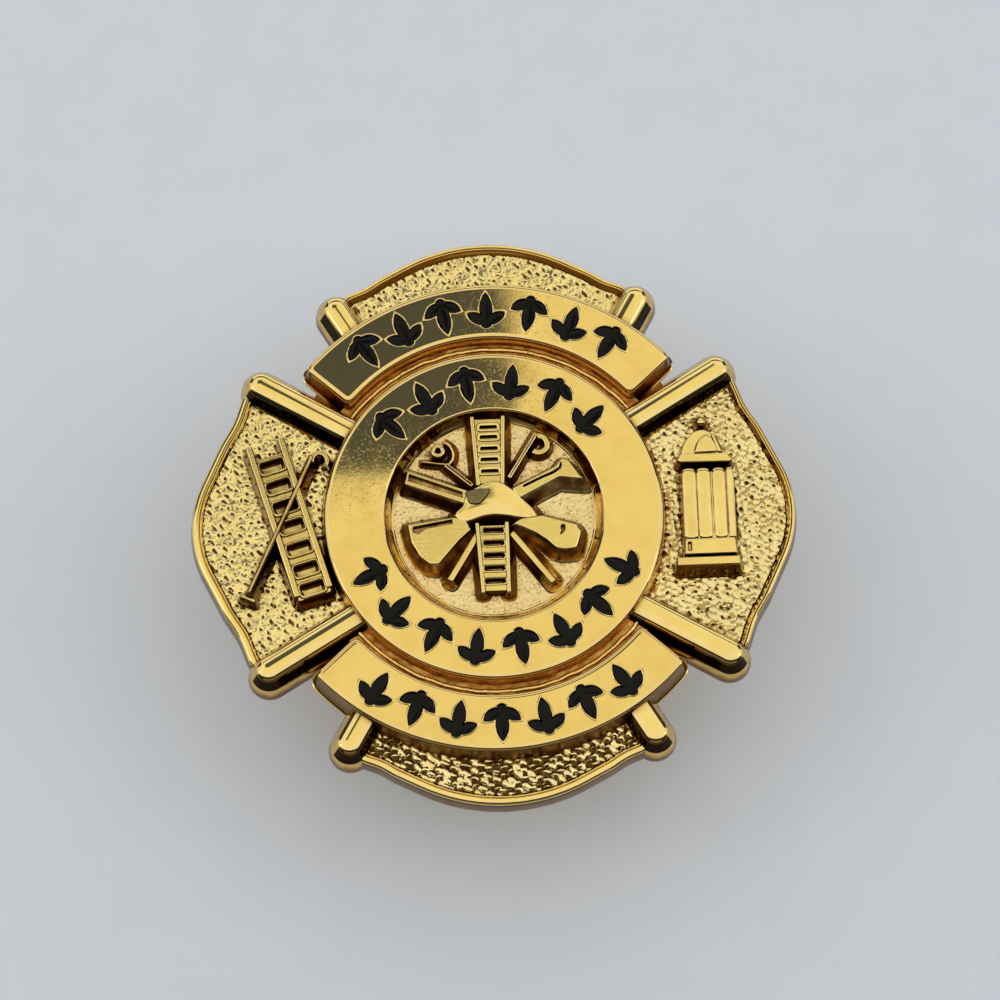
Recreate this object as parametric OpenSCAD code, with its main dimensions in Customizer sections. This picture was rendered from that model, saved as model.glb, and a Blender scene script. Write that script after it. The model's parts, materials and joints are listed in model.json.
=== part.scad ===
/* [Badge outline] */
// Width over the tips of the left and right arms
badge_w = 25.4; // [25:0.1:26]
// Height over the tips of the upper and lower arms
badge_h = 24.6; // [24.2:0.1:25]
// Thickness of the plate at its rim
rim_z = 1.1; // [1.05:0.05:1.25]
// Width of the raised rim of each arm
rim_w = 0.42; // [0.3:0.02:0.6]
// Depth of the pebbled fields below the rim
field_sink = 0.25; // [0.15:0.05:0.35]

/* [Ring and banners] */
// Outer radius of the flat ring
ring_r = 6.95; // [6.8:0.05:7.05]
// Inner radius of the flat ring
medal_r = 4.6; // [4.5:0.05:4.7]
// Inner radius of both banners
banner_in = 7.9; // [7.8:0.05:8]
// Outer radius of both banners
banner_out = 9.95; // [9.8:0.05:10.1]
// Angle from the middle of a banner to its end
banner_half = 48.3; // [46:0.1:49]
// Height of the ring and the banners over the back of the plate
face_z = 2; // [1.9:0.05:2.2]
// How far the struck walls lean out at their feet
draft = 0.44; // [0.1:0.02:0.46]
// Depth of the middle of the badge below the ring
medal_sink = 0.62; // [0.5:0.02:0.7]
// Depth of the groove between the ring and the banners
groove_deep = 0.75; // [0.6:0.05:0.85]

/* [Bars and figures] */
// Radius of the half-round bars
bar_r = 0.68; // [0.6:0.02:0.74]
// Height of the bars over the back of the plate
bar_z = 1.64; // [1.55:0.02:1.7]
// Height of the ladder and the hydrant over the back of the plate
figure_z = 1.78; // [1.6:0.02:1.85]

/* [Enamel] */
// Depth of the enamel cells below the face
cell_deep = 0.3; // [0.2:0.02:0.4]
// How far the enamel lies below the face
enamel_sink = 0.05; // [0.02:0.01:0.1]
// Gap between the enamel and its cell
enamel_gap = 0.015; // [0.01:0.005:0.03]
// Length of the long leaf of each spray
leaf_l = 1.35; // [1.1:0.05:1.4]
// Width of the long leaf of each spray
leaf_w = 0.52; // [0.4:0.02:0.56]

/* [Post and clutch] */
// Diameter of the post
post_d = 1.15; // [1:0.05:1.3]
// Room for the cloth between the plate and the clutch
cloth_gap = 1.6; // [1:0.1:2.5]
// Height of the clutch
clutch_h = 5.6; // [5:0.1:6.5]
// Diameter of the clutch at its brim
clutch_d = 10.8; // [9.5:0.1:11.5]
// Diameter of the clutch at its cup
cup_d = 8.2; // [7.5:0.1:8.8]

/* [Hidden] */
$fn = 64;
upper_count = 7;
ring_top_count = 6;
ring_count = 14;
lower_count = 7;
banner_pitch = 11.6;
ring_pitch = 18.5;

back_z = clutch_h + cloth_gap;
field_z = rim_z - field_sink;
medal_z = face_z - medal_sink;
groove_z = face_z - groove_deep;
tool_z = face_z - 0.06;
tool_low_z = face_z - 0.2;
banner_mid = (banner_in + banner_out) / 2;
ring_mid = (ring_r + medal_r) / 2;

// The arms: radius and slope of each round tip, and how far from the middle line their corners lie
side_tip_r = 4.7;
side_tip_a = 25.6;
side_hollow = 0.1;
upright_tip_r = 7.6;
upright_tip_a = 27;
upright_hollow = 0.06;
arm_corner = 5.9;

// The bars: centres of their round ends on the side arms and the upright arms
side_bar = [9.56, 6.19];
upright_bar = [6.31, 9.43];
bar_slope = 30.5;
side_bar_l = 5;
upright_bar_l = 2.6;
bar_foot = 0.13;
notch_r = 9.4;
weld = 0.3;

// The child as it is, and once more turned over the X axis
module both_halves() {
    children();
    mirror([0, 1]) children();
}

// The child as it is, and once more turned round by half a turn
module both_ends() {
    children();
    rotate(180) children();
}

// The child in all four quarters
module quarters() {
    for (mx = [0, 1])
        for (my = [0, 1])
            mirror([mx, 0, 0]) mirror([0, my, 0]) children();
}

// One arm that points along X: a round tip, straight flanks and a shallow hollow in each flank
module arm_outline(tip, tip_r, tip_a, hollow_deep, inset) {
    shoulder = [tip - tip_r + tip_r * cos(tip_a), tip_r * sin(tip_a)];
    flank_l = (arm_corner - shoulder.y) / cos(tip_a);
    corner = shoulder + flank_l * [-sin(tip_a), cos(tip_a)];
    hollow_l = flank_l * 0.6;
    hollow_r = (pow(hollow_l / 2, 2) + pow(hollow_deep, 2)) / (2 * hollow_deep);
    root = 3;
    translate([-inset, 0])
        difference() {
            union() {
                translate([tip - tip_r, 0]) circle(r = tip_r);
                polygon([
                    shoulder,
                    corner,
                    [root, root],
                    [root, -root],
                    [corner.x, -corner.y],
                    [shoulder.x, -shoulder.y]
                ]);
            }
            both_halves()
                translate(corner)
                    rotate(tip_a)
                        translate([hollow_r - hollow_deep, -hollow_l / 2])
                            circle(r = hollow_r, $fn = 200);
        }
}

// The four arms in one outline, or with an inset the outline inside their rims
module arms(inset = 0) {
    both_ends() arm_outline(badge_w / 2, side_tip_r, side_tip_a, side_hollow, inset);
    both_ends() rotate(90) arm_outline(badge_h / 2, upright_tip_r, upright_tip_a, upright_hollow, inset);
}

// Where a bar stands on the plate, seen from above
module bar_print(tip, slope, length) {
    r = bar_r + bar_foot;
    translate(tip)
        rotate(slope + 180) {
            circle(r = r);
            translate([0, -r]) square([length, 2 * r]);
        }
}

module plate() {
    linear_extrude(field_z) {
        arms();
        circle(r = notch_r, $fn = 128);
        quarters() {
            bar_print(side_bar, bar_slope, side_bar_l);
            bar_print(upright_bar, 90 - bar_slope, upright_bar_l);
        }
    }
    cylinder(h = medal_z, r = medal_r, $fn = 128);
}

module rims() {
    linear_extrude(rim_z)
        difference() {
            arms();
            arms(rim_w);
            circle(r = ring_r);
        }
}

// Section of a raised band between two radii, with walls that lean out at their feet
module band_section(inner, outer) {
    polygon([
        [inner - draft, 0],
        [outer + draft, 0],
        [outer, face_z],
        [inner, face_z]
    ]);
}

module ring() {
    rotate_extrude($fn = 128) band_section(medal_r, ring_r);
}

// Both banners, and the floor of the groove between each banner and the ring
module banners() {
    both_ends()
        rotate([0, 0, 90 - banner_half])
            rotate_extrude(angle = 2 * banner_half, $fn = 128) {
                band_section(banner_in, banner_out);
                translate([ring_mid, 0]) square([banner_mid - ring_mid, groove_z]);
            }
}

// One half-round bar with a round end, lying from its tip towards the ring
module bar(tip, slope, length) {
    translate([tip.x, tip.y, bar_z - bar_r])
        rotate([0, 0, slope + 180]) {
            sphere(r = bar_r);
            rotate([0, 90, 0]) cylinder(h = length, r = bar_r);
        }
}

module bars() {
    quarters() {
        bar(side_bar, bar_slope, side_bar_l);
        bar(upright_bar, 90 - bar_slope, upright_bar_l);
    }
}

// A struck strip with square ends between two points
module strip(from, to, width, z) {
    run = to - from;
    translate([from.x, from.y, 0])
        rotate([0, 0, atan2(run.y, run.x)])
            translate([0, -width / 2, 0]) cube([norm(run), width, z]);
}

// A struck shape given by its corners
module struck(corners, z) {
    linear_extrude(z) polygon(corners);
}

// A ladder standing along Y about its middle: two rails, and rungs a little lower than they are
module ladder(length, width, rail_w, rung_w, rungs, pitch, z) {
    rung_sink = 0.06;
    for (side = [-1, 1])
        translate([side * (width - rail_w) / 2 - rail_w / 2, -length / 2, 0]) cube([rail_w, length, z]);
    for (i = [0:rungs - 1])
        translate([rail_w / 2 - width / 2, (i - (rungs - 1) / 2) * pitch - rung_w / 2, 0])
            cube([width - rail_w, rung_w, z - rung_sink]);
}

// The leaning ladder on the left arm, crossed by a pike pole with a hook at its upper end
module ladder_figure() {
    lean = 15.7;
    pole_w = 0.3;
    pole_foot = [-10.35, -2.95];
    pole_head = [-7.45, 3.15];
    hook_end = [-7, 2.62];
    ladder_mid = [-8.55, 0.2];
    ladder_l = 7;
    ladder_w = 1.74;
    rail_w = 0.3;
    rung_w = 0.2;
    rung_count = 7;
    rung_pitch = 0.9;
    translate(ladder_mid)
        rotate([0, 0, lean]) ladder(ladder_l, ladder_w, rail_w, rung_w, rung_count, rung_pitch, figure_z);
    strip(pole_foot, pole_head, pole_w, figure_z + 0.08);
    strip(pole_head, hook_end, pole_w, figure_z + 0.02);
}

// The hydrant on the right arm: foot, fluted barrel, brim, dome and top nut
module hydrant() {
    middle_x = 8.85;
    foot_w = 2.6;
    foot_y = -2.45;
    foot_l = 0.5;
    barrel_w = 1.95;
    barrel_z = figure_z - 0.06;
    brim_w = 2.14;
    brim_y = 1.98;
    brim_l = 0.32;
    dome_r = 1.02;
    nut_r = 0.3;
    flute_r = 0.07;
    flute_pitch = 0.42;
    translate([middle_x, 0, 0]) {
        translate([-foot_w / 2, foot_y, 0]) cube([foot_w, foot_l, figure_z]);
        difference() {
            translate([-barrel_w / 2, foot_y + 0.1, 0]) cube([barrel_w, brim_y - foot_y, barrel_z]);
            for (i = [-1.5:1.5])
                translate([i * flute_pitch, foot_y + 1.2, barrel_z + flute_r / 3])
                    rotate([-90, 0, 0]) cylinder(h = brim_y - foot_y - 1.5, r = flute_r);
        }
        translate([-brim_w / 2, brim_y, 0]) cube([brim_w, brim_l, figure_z]);
        linear_extrude(figure_z)
            intersection() {
                translate([0, brim_y]) circle(r = dome_r);
                translate([-dome_r, brim_y + 0.1]) square(2 * dome_r);
            }
        translate([0, brim_y + dome_r, 0]) cylinder(h = barrel_z, r = 0.42);
        translate([0, brim_y + dome_r + 0.72, 0]) cylinder(h = figure_z - 0.02, r = nut_r);
    }
}

// The helmet over the crossing: a domed crown on a wide brim
module helmet() {
    crown = [0, 0.45];
    crown_r = 1.02;
    linear_extrude(tool_z) {
        translate(crown) circle(r = crown_r);
        polygon([
            [-1.6, -0.1],
            [-1.15, 0.9],
            [1.05, 0.9],
            [1.78, 0.05],
            [1.78, -0.3],
            [0.9, -0.2],
            [0, 0],
            [-0.9, -0.2]
        ]);
    }
    translate([crown.x, crown.y, tool_z - crown_r]) sphere(r = crown_r + 0.06);
}

// A struck round ring
module loop(centre, outer, inner) {
    difference() {
        translate([centre.x, centre.y, 0]) cylinder(h = tool_low_z, r = outer);
        translate([centre.x, centre.y, medal_z]) cylinder(h = face_z, r = inner);
    }
}

// The crossed tools inside the ring: ladder, horns, axe, key, hook and handles, with the helmet on top
module medallion() {
    ladder_x = -0.12;
    ladder_w = 1.36;
    rail_w = 0.24;
    key = [-2.23, 2.92];
    hook = [1.98, 3.08];
    handle_w = 0.34;
    shaft_w = 0.26;
    left_horn = [[-0.8, 0.95], [-3.5, 2.02], [-3.72, 1.5], [-1, 0.5]];
    right_horn = [[0.8, 1.1], [2.5, 1.98], [2.9, 2.36], [3.72, 1.36], [2.8, 1.45], [0.9, 0.6]];
    axe = [
        [-3.63, -0.3],
        [-1.45, -0.07],
        [-0.7, -0.36],
        [-2.05, -1.65],
        [-2.5, -2.12],
        [-2.8, -2],
        [-3.4, -1.1]
    ];
    nozzle = [
        [0.8, 0.5],
        [2.1, -0.1],
        [3.5, -0.6],
        [3.55, -0.95],
        [3.3, -1.45],
        [2.8, -1.62],
        [0.7, -0.3]
    ];
    translate([ladder_x, 2.9, 0]) ladder(2.9, ladder_w, rail_w, 0.2, 6, 0.485, tool_low_z);
    translate([ladder_x, -1.75, 0]) ladder(3.1, ladder_w, rail_w, 0.34, 6, 0.556, tool_low_z);
    // Left horn, a little wider at its outer end, and right horn with its flared bell
    struck(left_horn, tool_z);
    struck(right_horn, tool_z);
    // Axe blade at the lower left and the butt of a nozzle at the lower right
    struck(axe, tool_z);
    struck(nozzle, tool_z);
    // Key with a ring head at the upper left
    loop(key, 0.33, 0.11);
    strip(key + [-0.49, -0.5], key + [0.38, -0.56], 0.2, tool_low_z);
    strip(key + [0.18, -0.42], [-0.7, 1.2], shaft_w, tool_low_z);
    // Pole with a curled hook at the upper right
    difference() {
        loop(hook, 0.5, 0.22);
        translate([hook.x - 1.08, hook.y - 1.08, medal_z]) cube([1, 1.2, 1]);
    }
    strip([0.5, 1.2], [1.92, 3.62], shaft_w, tool_low_z);
    // Handles at the bottom
    strip([-0.4, -0.3], [-1.95, -2.75], handle_w, tool_low_z);
    strip([0.4, -0.3], [2.3, -2.95], handle_w, tool_low_z);
    helmet();
}

// A pointed leaf standing on the origin along Y, made of two crossing rounds
module leaf(length, width, grow) {
    l = length + 4 * grow;
    w = width + 2 * grow;
    r = (l * l + w * w) / (4 * w);
    translate([0, length / 2])
        intersection() {
            translate([r - w / 2, 0]) circle(r = r, $fn = 96);
            translate([w / 2 - r, 0]) circle(r = r, $fn = 96);
        }
}

// Three leaves that spring from one round bud
module spray(grow) {
    bud_r = 0.2;
    side_a = 58;
    side_l = leaf_l * 0.66;
    side_w = leaf_w * 0.86;
    translate([0, -leaf_l * 0.42]) {
        leaf(leaf_l, leaf_w, grow);
        for (side = [-1, 1]) rotate(side * side_a) leaf(side_l, side_w, grow);
        circle(r = bud_r + grow);
    }
}

// The place of one spray: its radius, its angle from the top and whether it points inwards
function upper_place(i) = [banner_mid, (i - (upper_count + 1) / 2) * banner_pitch, i % 2];
function lower_place(i) = [banner_mid, 180 + (i - (lower_count + 1) / 2) * banner_pitch, i % 2];
function ring_place(i) =
    i <= ring_top_count
    ? [ring_mid, (i - (ring_top_count + 1) / 2) * ring_pitch, i % 2]
    : [ring_mid, 180 + (i - (ring_top_count + ring_count + 1) / 2) * ring_pitch, i % 2];

module place_spray(place, grow) {
    rotate(-place[1])
        translate([0, place[0]])
            rotate(place[2] * 180) spray(grow);
}

// The sunk cells that hold the enamel
module cells() {
    translate([0, 0, face_z - cell_deep])
        linear_extrude(1) {
            for (i = [1:upper_count]) place_spray(upper_place(i), 0);
            for (i = [1:ring_count]) place_spray(ring_place(i), 0);
            for (i = [1:lower_count]) place_spray(lower_place(i), 0);
        }
}

// The soldered post, with its foot against the plate and its point down inside the clutch
module post() {
    foot_r = 1.5;
    foot_h = 0.3;
    point_h = 1;
    point_d = 0.2;
    point_z = 1 - back_z;
    translate([0, 0, -foot_h]) cylinder(h = foot_h + weld, r = foot_r);
    translate([0, 0, point_z + point_h]) cylinder(h = weld - point_z - point_h, d = post_d);
    translate([0, 0, point_z]) cylinder(h = point_h, d1 = point_d, d2 = post_d);
}

module badge() {
    color("goldenrod")
        translate([0, 0, back_z]) {
            difference() {
                union() {
                    plate();
                    rims();
                    bars();
                    ring();
                    banners();
                    ladder_figure();
                    hydrant();
                    medallion();
                }
                cells();
            }
            post();
        }
}

module enamel(place) {
    color("black")
        translate([0, 0, back_z + face_z - cell_deep + enamel_gap])
            linear_extrude(cell_deep - enamel_gap - enamel_sink) place_spray(place, -enamel_gap);
}

// The clutch: a flat brim against the cloth and a round cup that the pin stands on
module clutch() {
    bore_r = post_d / 2 + 0.06;
    floor_t = 0.7;
    brim_t = 0.7;
    edge_r = 0.6;
    color("gold")
        rotate_extrude($fn = 96)
            difference() {
                union() {
                    square([cup_d / 2, clutch_h - brim_t]);
                    translate([0, clutch_h - brim_t]) square([clutch_d / 2, brim_t]);
                }
                translate([0, floor_t]) square([bore_r, clutch_h]);
                translate([cup_d / 2 - edge_r, 0])
                    difference() {
                        square(edge_r);
                        translate([0, edge_r]) circle(r = edge_r);
                    }
            }
}

badge();
clutch();
for (i = [1:upper_count])
    enamel(upper_place(i));
for (i = [1:ring_count])
    enamel(ring_place(i));
for (i = [1:lower_count])
    enamel(lower_place(i));
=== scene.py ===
import bpy
import bmesh
import json
import math
from mathutils import Matrix, Vector, noise

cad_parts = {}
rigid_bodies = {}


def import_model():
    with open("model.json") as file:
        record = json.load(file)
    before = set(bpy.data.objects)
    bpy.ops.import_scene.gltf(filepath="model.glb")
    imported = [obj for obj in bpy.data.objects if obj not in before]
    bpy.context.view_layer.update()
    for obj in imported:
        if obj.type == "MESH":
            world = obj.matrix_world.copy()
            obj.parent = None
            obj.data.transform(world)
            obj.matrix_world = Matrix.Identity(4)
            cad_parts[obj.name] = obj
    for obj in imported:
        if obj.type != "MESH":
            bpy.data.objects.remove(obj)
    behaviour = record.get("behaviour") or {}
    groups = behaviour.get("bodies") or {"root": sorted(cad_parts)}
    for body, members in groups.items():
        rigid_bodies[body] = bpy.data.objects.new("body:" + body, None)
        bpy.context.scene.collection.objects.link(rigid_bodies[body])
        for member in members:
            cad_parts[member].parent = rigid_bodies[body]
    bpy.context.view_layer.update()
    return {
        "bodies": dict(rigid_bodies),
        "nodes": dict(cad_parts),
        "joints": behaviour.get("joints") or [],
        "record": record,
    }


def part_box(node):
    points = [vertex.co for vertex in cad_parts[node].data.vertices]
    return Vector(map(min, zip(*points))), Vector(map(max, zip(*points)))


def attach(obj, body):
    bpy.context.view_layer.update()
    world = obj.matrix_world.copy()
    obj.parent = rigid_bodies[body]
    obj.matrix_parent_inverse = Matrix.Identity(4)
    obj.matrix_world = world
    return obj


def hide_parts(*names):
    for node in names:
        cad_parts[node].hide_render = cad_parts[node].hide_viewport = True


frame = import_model()
scene = bpy.context.scene
mm = 0.001
faceZ = 2.0  # ring and banners over the back of the plate, in millimetres
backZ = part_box("badge")[1].z / mm - faceZ  # back of the plate over the table
print("frame loaded, back of the plate at", round(backZ, 3), "mm")


def turned(point, degrees):
    angle = math.radians(degrees)
    x, y = point[0], point[1]
    return Vector((x * math.cos(angle) - y * math.sin(angle), x * math.sin(angle) + y * math.cos(angle)))


def spot(radius, degrees, centre=(0, 0)):
    return turned((radius, 0), degrees) + Vector(centre)


def neighbours(points):
    return zip(points[-1:] + points[:-1], points, points[1:] + points[:1])


def grown(corners, amount):
    # The outline moved outwards by amount, for corners that run anticlockwise
    result = []
    for before, here, after in neighbours(corners):
        coming = (here - before).normalized()
        going = (after - here).normalized()
        outA = Vector((coming.y, -coming.x))
        outB = Vector((going.y, -going.x))
        result.append(here + (outA + outB) * amount / max(0.35, 1 + outA.dot(outB)))
    return result


def curved(start, corner, end, t):
    return (1 - t) ** 2 * start + 2 * t * (1 - t) * corner + t * t * end


def rounded(corners, radius, grow=0, steps=4):
    # Every corner becomes a short curve; outer corners widen as the outline grows
    result = []
    for before, here, after in neighbours(corners):
        back = before - here
        ahead = after - here
        outer = back.cross(ahead) < 0
        reach = max(0.03, radius + (grow if outer else -grow))
        reach = min(reach, back.length * 0.45, ahead.length * 0.45)
        start = here + back.normalized() * reach
        end = here + ahead.normalized() * reach
        for i in range(steps + 1):
            result.append(curved(start, here, end, i / steps))
    return result


def atHeight(outline, z):
    return [(p[0], p[1], z) for p in outline]


def loft(bm, loops):
    # A closed skin through a stack of outlines with the same number of points
    face = bm.faces.new([bm.verts.new(p) for p in loops[0]])
    for level, loop in enumerate(loops[1:]):
        raised = bmesh.ops.extrude_face_region(bm, geom=[face], use_keep_orig=True)
        if level:
            bm.faces.remove(face)
        face = next(part for part in raised["geom"] if isinstance(part, bmesh.types.BMFace))
        for vert, point in zip(face.verts, loop):
            vert.co = point
    return face


def relief(low, top, spread=0.3, dish=0):
    # Levels of a struck shape: buried foot, leaning wall, round edge and top
    high = top - low
    levels = [
        (spread, low - 0.15), (spread, low + 0.01), (spread * 0.88, low + high * 0.07),
        (spread * 0.68, low + high * 0.25), (spread * 0.36, low + high * 0.6), (spread * 0.1, top - 0.09),
        (0.0, top - 0.035), (-0.025, top - 0.008), (-0.055, top),
    ]
    if dish:
        levels.append((-0.08, top - dish * 0.35))
        levels.append((-0.11, top - dish))
    return levels


def anticlockwise(corners):
    corners = [Vector(c) for c in corners]
    area = sum(a.cross(b) for a, b in zip(corners, corners[1:] + corners[:1]))
    return corners if area > 0 else corners[::-1]


def struck(bm, corners, levels, radius=0.1, slide=0):
    # slide moves the foot of the shape towards the lower arm, so that its lower wall is the wider one
    corners = anticlockwise(corners)
    low, top = levels[1][1], levels[-1][1]
    loops = []
    for g, z in levels:
        drop = Vector((0, -slide * min(1, max(0, (top - z) / (top - low)))))
        loops.append(atHeight([p + drop for p in rounded(grown(corners, g), radius, g)], z))
    return loft(bm, loops)


def closeFace(bm, top):
    # Fills a flat face at that height, between its outer edges and all that is sunk into it
    border = [e for e in bm.edges if e.is_boundary and all(abs(v.co.z - top) < 1e-5 for v in e.verts)]
    bmesh.ops.triangle_fill(bm, use_beauty=True, use_dissolve=False, edges=border, normal=(0, 0, 1))


def sunk(bm, lid, channels, levels, radius, slide=0):
    # Opens sunk channels in a flat top face; their levels are measured from that face, and slide widens
    # the wall at the side of the upper arm
    top = lid.verts[0].co.z
    bm.faces.remove(lid)
    for channel in channels:
        corners = anticlockwise(channel)
        before = set(bm.faces)
        loops = []
        for g, z in levels:
            drop = Vector((0, slide * min(0, z)))
            loops.append(atHeight([p + drop for p in rounded(grown(corners, g), radius, g)], top + z))
        loft(bm, loops)
        for face in [f for f in bm.faces if f not in before]:
            if all(abs(v.co.z - top) < 1e-6 for v in face.verts):
                bm.faces.remove(face)
    closeFace(bm, top)


def strip(start, end, width, endWidth=None):
    # Corners of a straight bar between two points
    start = Vector(start)
    end = Vector(end)
    side = turned((end - start).normalized(), 90)
    a = side * width / 2
    b = side * (endWidth or width) / 2
    return [start - a, end - b, end + b, start + a]


def between(low, high):
    # Corners of a level box
    return [(low[0], low[1]), (high[0], low[1]), (high[0], high[1]), (low[0], high[1])]


def spinRound(bm, geom, degrees, steps):
    # About the badge's middle; a full turn closes on itself
    bmesh.ops.spin(
        bm, geom=geom, cent=(0, 0, 0), axis=(0, 0, 1), dvec=(0, 0, 0), angle=math.radians(degrees),
        steps=steps, use_merge=degrees >= 360, use_duplicate=False,
    )


def spun(section, steps=96):
    # A closed round shape from its half section of radius and height
    bm = bmesh.new()
    verts = [bm.verts.new((r, 0, z)) for r, z in section]
    edges = [bm.edges.new(pair) for pair in zip(verts, verts[1:])]
    spinRound(bm, verts + edges, 360, steps)
    return bm


def newObject(name, bm):
    mesh = bpy.data.meshes.new(name)
    bm.to_mesh(mesh)
    bm.free()
    made = bpy.data.objects.new(name, mesh)
    scene.collection.objects.link(made)
    return made


def piece(name, bm, material, replaced="badge", sharp=38):
    # From plate millimetres to the frame's metres, with clean outward normals
    bmesh.ops.remove_doubles(bm, verts=bm.verts, dist=0.0004)
    bmesh.ops.dissolve_degenerate(bm, dist=0.0002, edges=bm.edges)
    bmesh.ops.recalc_face_normals(bm, faces=bm.faces)
    limit = math.radians(sharp)
    for edge in bm.edges:
        edge.smooth = len(edge.link_faces) == 2 and edge.calc_face_angle(0) < limit
    for face in bm.faces:
        corners = [v.co.z for v in face.verts]
        flat = abs(face.normal.z) > 0.99999 and max(corners) - min(corners) < 0.0005
        face.smooth = not flat
    bmesh.ops.translate(bm, verts=bm.verts, vec=(0, 0, backZ))
    bmesh.ops.scale(bm, verts=bm.verts, vec=(mm, mm, mm))
    made = newObject(name, bm)
    for finish in material if isinstance(material, list) else [material]:
        made.data.materials.append(finish)
    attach(made, "root")
    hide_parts(replaced)
    return made


def hexColour(code):
    channels = [int(code[i:i + 2], 16) / 255 for i in (0, 2, 4)]
    return tuple(c / 12.92 if c < 0.04045 else ((c + 0.055) / 1.055) ** 2.4 for c in channels) + (1,)


def node(tree, kind, settings=None, **links):
    # Adds a node; a link is an output socket or a node's first one, anything else is a fixed value
    made = tree.nodes.new("ShaderNode" + kind)
    for key, value in (settings or {}).items():
        setattr(made, key, value)
    for key, value in links.items():
        number = key[2:] if key.startswith("in") else ""
        socket = made.inputs[int(number) if number.isdigit() else key.replace("_", " ")]
        if isinstance(value, bpy.types.Node):
            value = value.outputs[0]
        if isinstance(value, bpy.types.NodeSocket):
            tree.links.new(value, socket)
        else:
            socket.default_value = value
    return made


def startMaterial(name):
    made = bpy.data.materials.new(name)
    made.use_nodes = True
    tree = made.node_tree
    place = node(tree, "TexCoord").outputs["Object"]
    return made, tree, tree.nodes["Principled BSDF"], place


def joinShader(tree, shader, colour, rough, bump):
    tree.links.new(colour, shader.inputs["Base Color"])
    tree.links.new(rough.outputs[0], shader.inputs["Roughness"])
    tree.links.new(bump.outputs[0], shader.inputs["Normal"])


goldLook = {
    "plate": "F9DC8B",  # fresh gold plating
    "middle": "946B31",  # painted shade, a little way down the struck walls
    "deep": "46301A",  # painted shade at their feet and in the pits
    "stops": (0.3, 0.6, 0.88),  # how open and how level the metal is at deep, middle and plate: the stops of the painted shade
    "reach": 0.0004,
    "slope": (0.25, 0.7),  # upward part of the normal, from wall in full painted shade to level face without it
    "patch": 0.42,  # how much random patches lift the painted shade on the walls
    "mottle": 0.3,  # share of the soft brownish patches on the plating
    "scratch": 0.0,  # depth of the sparse fine scratches
    "speck": 0.0,  # share of brownish specks
    "face": {"rough": 0.035, "spread": 0.02, "bump": 0.004, "plate": "F3D383", "scratch": 0.022},
    "bar": {
        "rough": 0.05, "spread": 0.02, "bump": 0.01, "slope": (0.45, 0.8), "deep": "2A1E10",
        "patch": 0.12,
    },
    "rim": {
        "rough": 0.06, "spread": 0.02, "bump": 0.02, "slope": (0.15, 0.5), "deep": "3A2812",
        "reach": 0.00012, "patch": 0.15,
    },
    "pebble": {
        "rough": 0.16, "spread": 0.06, "bump": 0.05, "plate": "FCE49C", "deep": "4A3416",
        "middle": "A07A38", "stops": (0.2, 0.5, 0.8), "reach": 0.0002, "slope": (0.45, 0.92),
        "patch": 0.1,
    },
    "blast": {
        "rough": 0.3, "spread": 0.06, "bump": 0.7, "plate": "FFE3A0", "middle": "D4A86A",
        "slope": (-3, -2), "speck": 0.8, "patch": 0.3,
    },
    "line": {
        "rough": 0.2, "spread": 0.08, "bump": 0.3, "slope": (-3, -2), "reach": 0.00008,
        "speck": 0.6,
    },
    "wall": {
        "rough": 0.15, "spread": 0.05, "bump": 0.08, "slope": (0.5, 0.9), "deep": "5E4126",
        "middle": "9C7240",
    },
    "low": {
        "rough": 0.14, "spread": 0.05, "bump": 0.06, "slope": (0.5, 0.9), "deep": "7A5A30",
        "middle": "BC9150",
    },
    # Painted shade: a darker plate colour and a deep brown ramp for the walls of ring and banners and the
    # floor of the grooves
    "groove": {
        "rough": 0.26, "spread": 0.08, "bump": 0.1, "plate": "E2B05E", "middle": "B47E3A",
        "deep": "523414", "stops": (0.3, 0.62, 0.95), "reach": 0.0006, "slope": (-3, -2), "patch": 0.25,
    },
    # The edge's dark brown plate colour is painted shade on the outer walls; its roughness is the real
    # duller finish
    "edge": {"rough": 0.3, "spread": 0.08, "bump": 0.2, "plate": "84602F", "slope": (-3, -2)},
    # Bar sides: a duller, rougher finish, and a darker plate colour that is painted shade
    "side": {
        "rough": 0.18, "spread": 0.06, "bump": 0.1, "plate": "E4C078", "middle": "B08544",
        "deep": "6B4A22", "slope": (-0.2, 0.6), "reach": 0.0002, "patch": 0.3,
    },
    "pin": {"rough": 0.2, "spread": 0.05, "bump": 0.06, "slope": (-3, -2)},
}


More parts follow.
